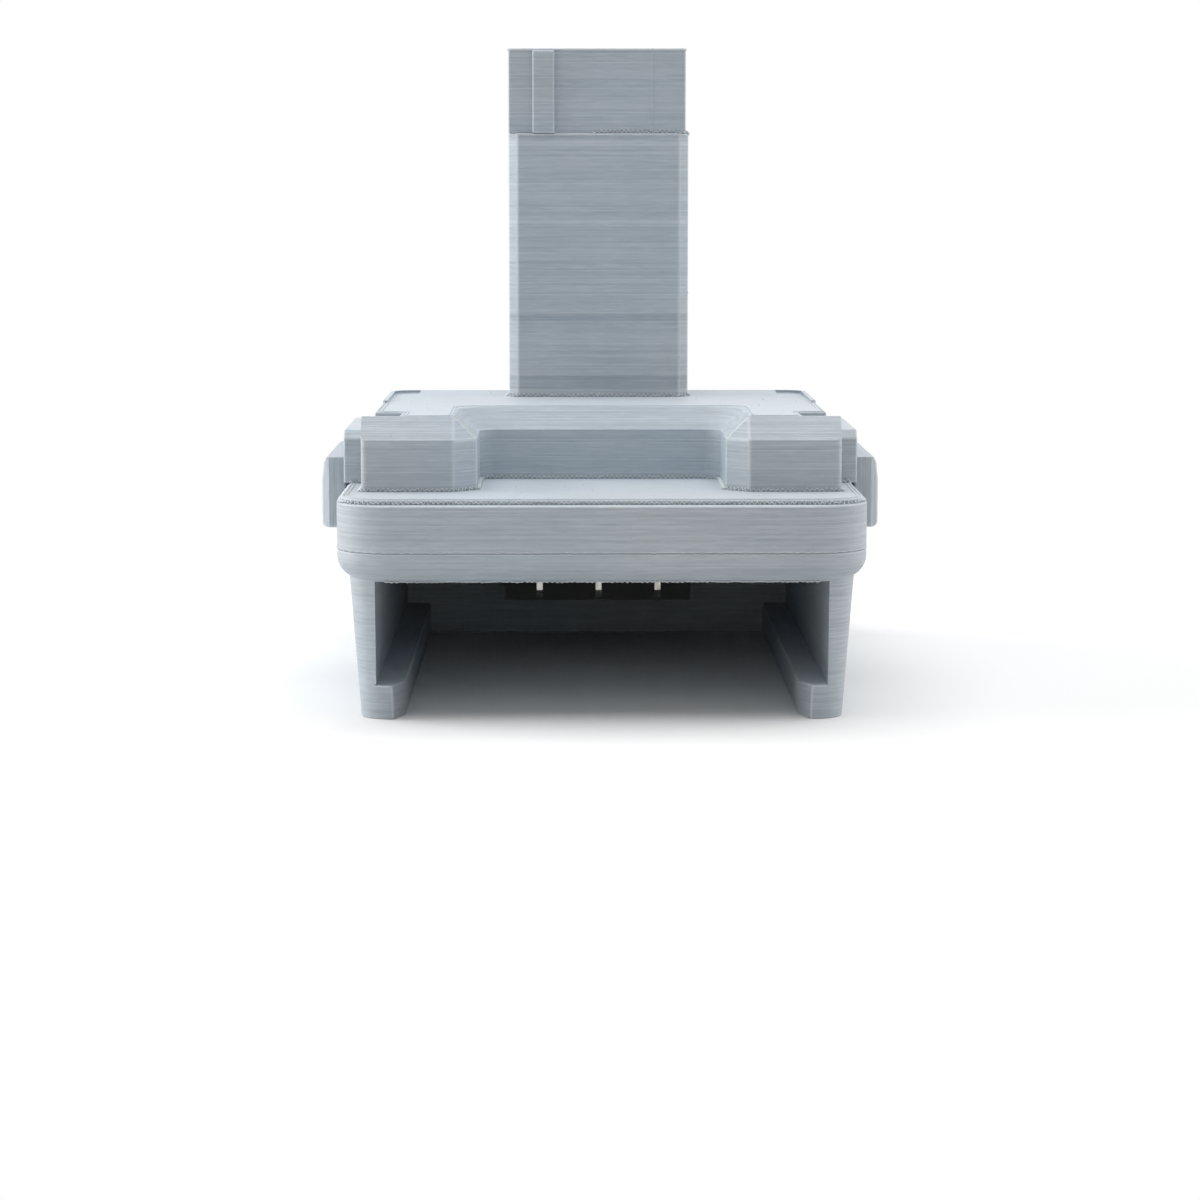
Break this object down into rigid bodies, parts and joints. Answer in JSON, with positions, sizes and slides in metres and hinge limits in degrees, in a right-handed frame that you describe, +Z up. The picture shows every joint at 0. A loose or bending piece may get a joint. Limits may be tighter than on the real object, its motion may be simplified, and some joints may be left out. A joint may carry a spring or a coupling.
{
  "type": "tool battery adapter",
  "caption": "3D-printed adapter with a stem post and side latches for a tool's battery socket above, and rails and blade terminals for a slide battery pack below.",
  "frame": {"origin": "under the middle of the adapter, on the plane its side skirts stand on", "axes": "+Z up along the post, -Y towards the end where the battery pack slides in, +X to the right seen from there"},
  "size_m": [0.0712, 0.092, 0.0824],
  "materials": {
    "printed_body": "pale blue-grey printed plastic, fine horizontal layer lines, satin",
    "printed_latch": "pale blue-grey printed plastic, layer lines upright, satin",
    "moulded_block": "black moulded glass-filled plastic, fine texture",
    "blade_metal": "tin-plated copper alloy, rolled",
    "contact_metal": "bare spring brass sheet",
    "spring_steel": "bright drawn spring wire",
    "pin_steel": "ground dowel pin",
    "screw_steel": "zinc-plated steel screws",
    "insert_brass": "turned brass heat-set inserts",
    "wire_red": "red silicone wire jacket",
    "wire_black": "black silicone wire jacket",
    "sleeve_black": "black heat-shrink sleeve"
  },
  "bodies": {
    "adapter": {"tool_side_body": "printed_body", "receiver": "printed_body", "contact_head": "printed_body", "terminal_block": "moulded_block", "blade_positive": "blade_metal", "blade_sense": "blade_metal", "blade_negative": "blade_metal", "contact_positive": "contact_metal", "contact_negative": "contact_metal", "latch_spring_left": "spring_steel", "latch_spring_right": "spring_steel", "latch_pin_left": "pin_steel", "latch_pin_right": "pin_steel", "body_screws": "screw_steel", "block_screws": "screw_steel", "head_screws": "screw_steel", "contact_screws": "screw_steel", "threaded_inserts": "insert_brass", "wire_positive": "wire_red", "wire_negative": "wire_black", "solder_sleeves_lower": "sleeve_black", "solder_sleeves_upper": "sleeve_black"},
    "left_latch": {"latch_left": "printed_latch"},
    "right_latch": {"latch_right": "printed_latch"}
  },
  "joints": [
    {"name": "left_latch_press", "type": "slide", "parent": "adapter", "child": "left_latch", "axis": [1, 0, 0], "range_m": [0, 0.003], "stiffness_N_per_m": 800, "springref_m": -0.002, "deforming": ["latch_spring_left"]},
    {"name": "right_latch_press", "type": "slide", "parent": "adapter", "child": "right_latch", "axis": [-1, 0, 0], "range_m": [0, 0.003], "stiffness_N_per_m": 800, "springref_m": -0.002, "deforming": ["latch_spring_right"]}
  ]
}
